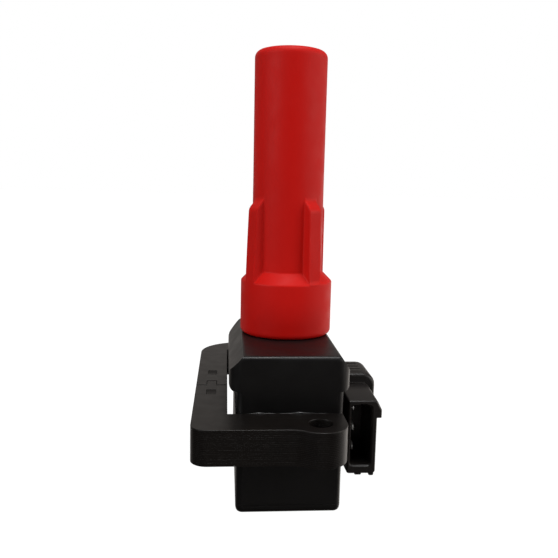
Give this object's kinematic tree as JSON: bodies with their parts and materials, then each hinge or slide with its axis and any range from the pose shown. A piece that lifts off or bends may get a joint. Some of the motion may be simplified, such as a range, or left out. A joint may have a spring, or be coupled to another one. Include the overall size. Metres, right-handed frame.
{
  "type": "ignition coil",
  "caption": "Plug-top ignition coil: black cast case in a laminated open-loop core with bolt ears, side socket with blades, and a finned silicone plug boot on top.",
  "frame": {"origin": "where the boot's axis meets the plane of the case's open, resin-filled face", "axes": "+Z along the boot towards the spark plug, -Y the way the connector's mouth faces, +X towards the connector's side"},
  "size_m": [0.0565, 0.1024, 0.1331],
  "materials": {
    "case_plastic": "satin moulded, glass-filled",
    "casting_resin": "semi-gloss epoxy",
    "core_steel": "black dip coating on silicon steel sheets",
    "inner_core_steel": "bare silicon steel sheets",
    "magnet": "nickel plated",
    "sleeve_paper": "insulating paper",
    "bobbin_plastic": "satin",
    "secondary_bobbin_plastic": "natural, satin",
    "copper_wire": "enamelled copper",
    "fine_copper_wire": "enamelled fine copper",
    "sealant": "glossy silicone bead",
    "diode_body": "moulded",
    "tinned_wire": "tinned",
    "brass_part": "stamped",
    "resistor_ceramic": "glazed ceramic",
    "spring_steel": "bright drawn",
    "red_silicone": "satin silicone",
    "connector_plastic": "fine satin",
    "tinned_blade": "tin plated",
    "spreader_aluminium": "mill",
    "module_plastic": "fine matte"
  },
  "bodies": {
    "root": {"case": "case_plastic", "potting_fill": "casting_resin", "outer_core_front": "core_steel", "outer_core_rear": "core_steel", "core_magnet": "magnet", "centre_core": "inner_core_steel", "core_sleeve": "sleeve_paper", "primary_bobbin": "bobbin_plastic", "primary_winding": "copper_wire", "secondary_bobbin": "secondary_bobbin_plastic", "core_sealant": "sealant", "hv_diode": "diode_body", "hv_lead_in": "tinned_wire", "hv_lead_out": "tinned_wire", "hv_terminal": "brass_part", "suppression_resistor": "resistor_ceramic", "contact_spring": "spring_steel", "terminal_ground": "tinned_blade", "terminal_signal": "tinned_blade", "terminal_power": "tinned_blade", "connector_housing": "connector_plastic", "igniter_heat_spreader": "spreader_aluminium", "igniter_module": "module_plastic", "primary_lead_start": "copper_wire", "primary_lead_end": "copper_wire", "secondary_winding_1": "fine_copper_wire", "secondary_winding_2": "fine_copper_wire", "secondary_winding_3": "fine_copper_wire", "secondary_winding_4": "fine_copper_wire", "secondary_winding_5": "fine_copper_wire", "secondary_winding_6": "fine_copper_wire"},
    "boot": {"plug_boot": "red_silicone"},
    "spring_tip": {"contact_spring_tip": "spring_steel"}
  },
  "joints": [
    {"name": "boot_pull_off", "type": "slide", "parent": "root", "child": "boot", "axis": [0, 0, 1], "range_m": [0, 0.07]},
    {"name": "contact_spring_press", "type": "slide", "parent": "root", "child": "spring_tip", "axis": [0, 0, -1], "range_m": [0, 0.006], "stiffness_N_per_m": 600, "deforming": ["contact_spring"]}
  ]
}
